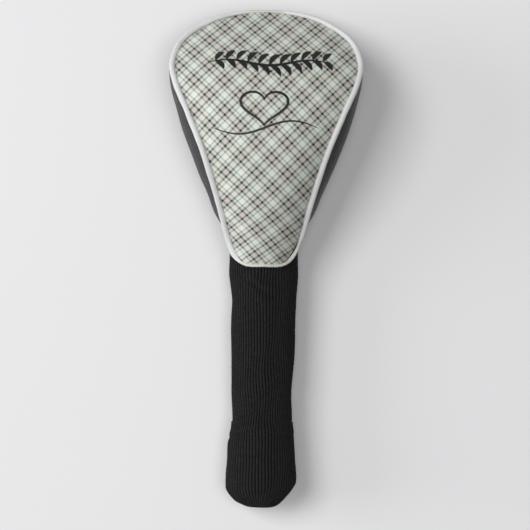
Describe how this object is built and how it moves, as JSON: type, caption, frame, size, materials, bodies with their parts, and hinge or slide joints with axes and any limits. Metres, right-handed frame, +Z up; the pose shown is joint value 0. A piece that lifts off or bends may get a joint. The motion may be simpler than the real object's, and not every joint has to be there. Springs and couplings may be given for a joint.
{
  "type": "driver head cover",
  "caption": "Driver head cover for golf: padded pod with a plaid front panel, white piping and black sides, and a black ribbed knit sock with a doubled cuff.",
  "frame": {"origin": "on the surface it lies on, under the middle of its box", "axes": "+Z up, out of the front panel; +Y towards the crown of the pod; the sock runs along -Y"},
  "size_m": [0.1302, 0.3366, 0.0845],
  "materials": {
    "printed_fabric": "printed satin weave",
    "black_fabric": "fine twill",
    "white_tape": "bias tape",
    "black_tape": "bias tape",
    "foam": "open-cell foam sheet",
    "lining": "brushed tricot",
    "cord": "twisted cotton",
    "light_thread": "twisted thread",
    "black_thread": "twisted thread",
    "elastic": "braided elastic",
    "black_knit": "fine rib knit"
  },
  "bodies": {
    "pod": {"front_panel": "printed_fabric", "front_foam": "foam", "front_lining": "lining", "side_gusset": "black_fabric", "gusset_foam": "foam", "gusset_lining": "lining", "back_panel": "black_fabric", "back_foam": "foam", "back_lining": "lining", "piping_cover": "white_tape", "piping_cord": "cord", "front_seam_stitches": "light_thread", "back_welt": "black_tape", "mouth_binding": "black_tape"},
    "neck": {"neck_elastic": "elastic", "sock_neck": "black_knit"},
    "sock": {"sock_tube": "black_knit", "sock_end": "black_knit"},
    "cuff": {"cuff_outer": "black_knit", "cuff_inner": "black_knit", "cuff_elastic": "elastic", "hem_stitches": "black_thread"}
  },
  "joints": [
    {"name": "neck_swing", "type": "hinge", "parent": "pod", "child": "neck", "pos_m": [0, -0.002, 0.0235], "axis": [0, 0, 1], "range_deg": [-30, 30], "deforming": ["sock_neck"]},
    {"name": "neck_lift", "type": "hinge", "parent": "neck", "child": "sock", "pos_m": [0, -0.026, 0.0235], "axis": [-1, 0, 0], "range_deg": [0, 40], "deforming": ["sock_neck"]},
    {"name": "cuff_slide", "type": "slide", "parent": "sock", "child": "cuff", "axis": [0, 1, 0], "range_m": [-0.01, 0.02], "stiffness_N_per_m": 100, "deforming": ["sock_end"]}
  ]
}
